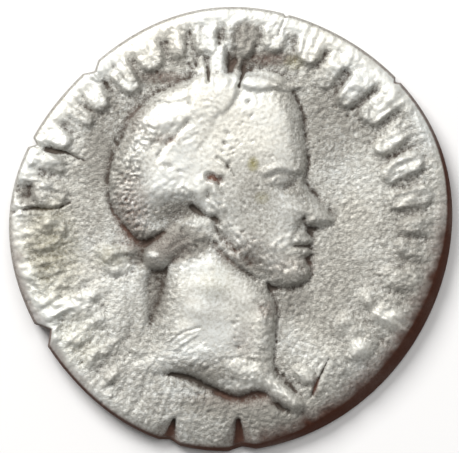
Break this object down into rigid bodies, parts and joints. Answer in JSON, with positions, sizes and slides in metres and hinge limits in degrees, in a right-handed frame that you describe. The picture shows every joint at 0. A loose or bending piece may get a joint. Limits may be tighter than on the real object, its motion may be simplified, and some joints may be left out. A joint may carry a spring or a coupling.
{
  "type": "denarius coin",
  "caption": "Worn ancient silver coin with a laureate head in relief inside a ring of shallow strokes, and a draped standing figure on the back.",
  "frame": {"origin": "middle of the underside, the plane of the worn reverse rim that the coin lies on", "axes": "+Z through the thickness, out of the obverse with the head; +Y towards the top of the head; +X the way the head faces"},
  "size_m": [0.0178, 0.018, 0.0019],
  "materials": {
    "silver": "worn, lightly toned silver with polished high points, grey grainy fields and brown deposit in the hollows"
  },
  "bodies": {
    "root": {"coin": "silver"}
  },
  "joints": []
}
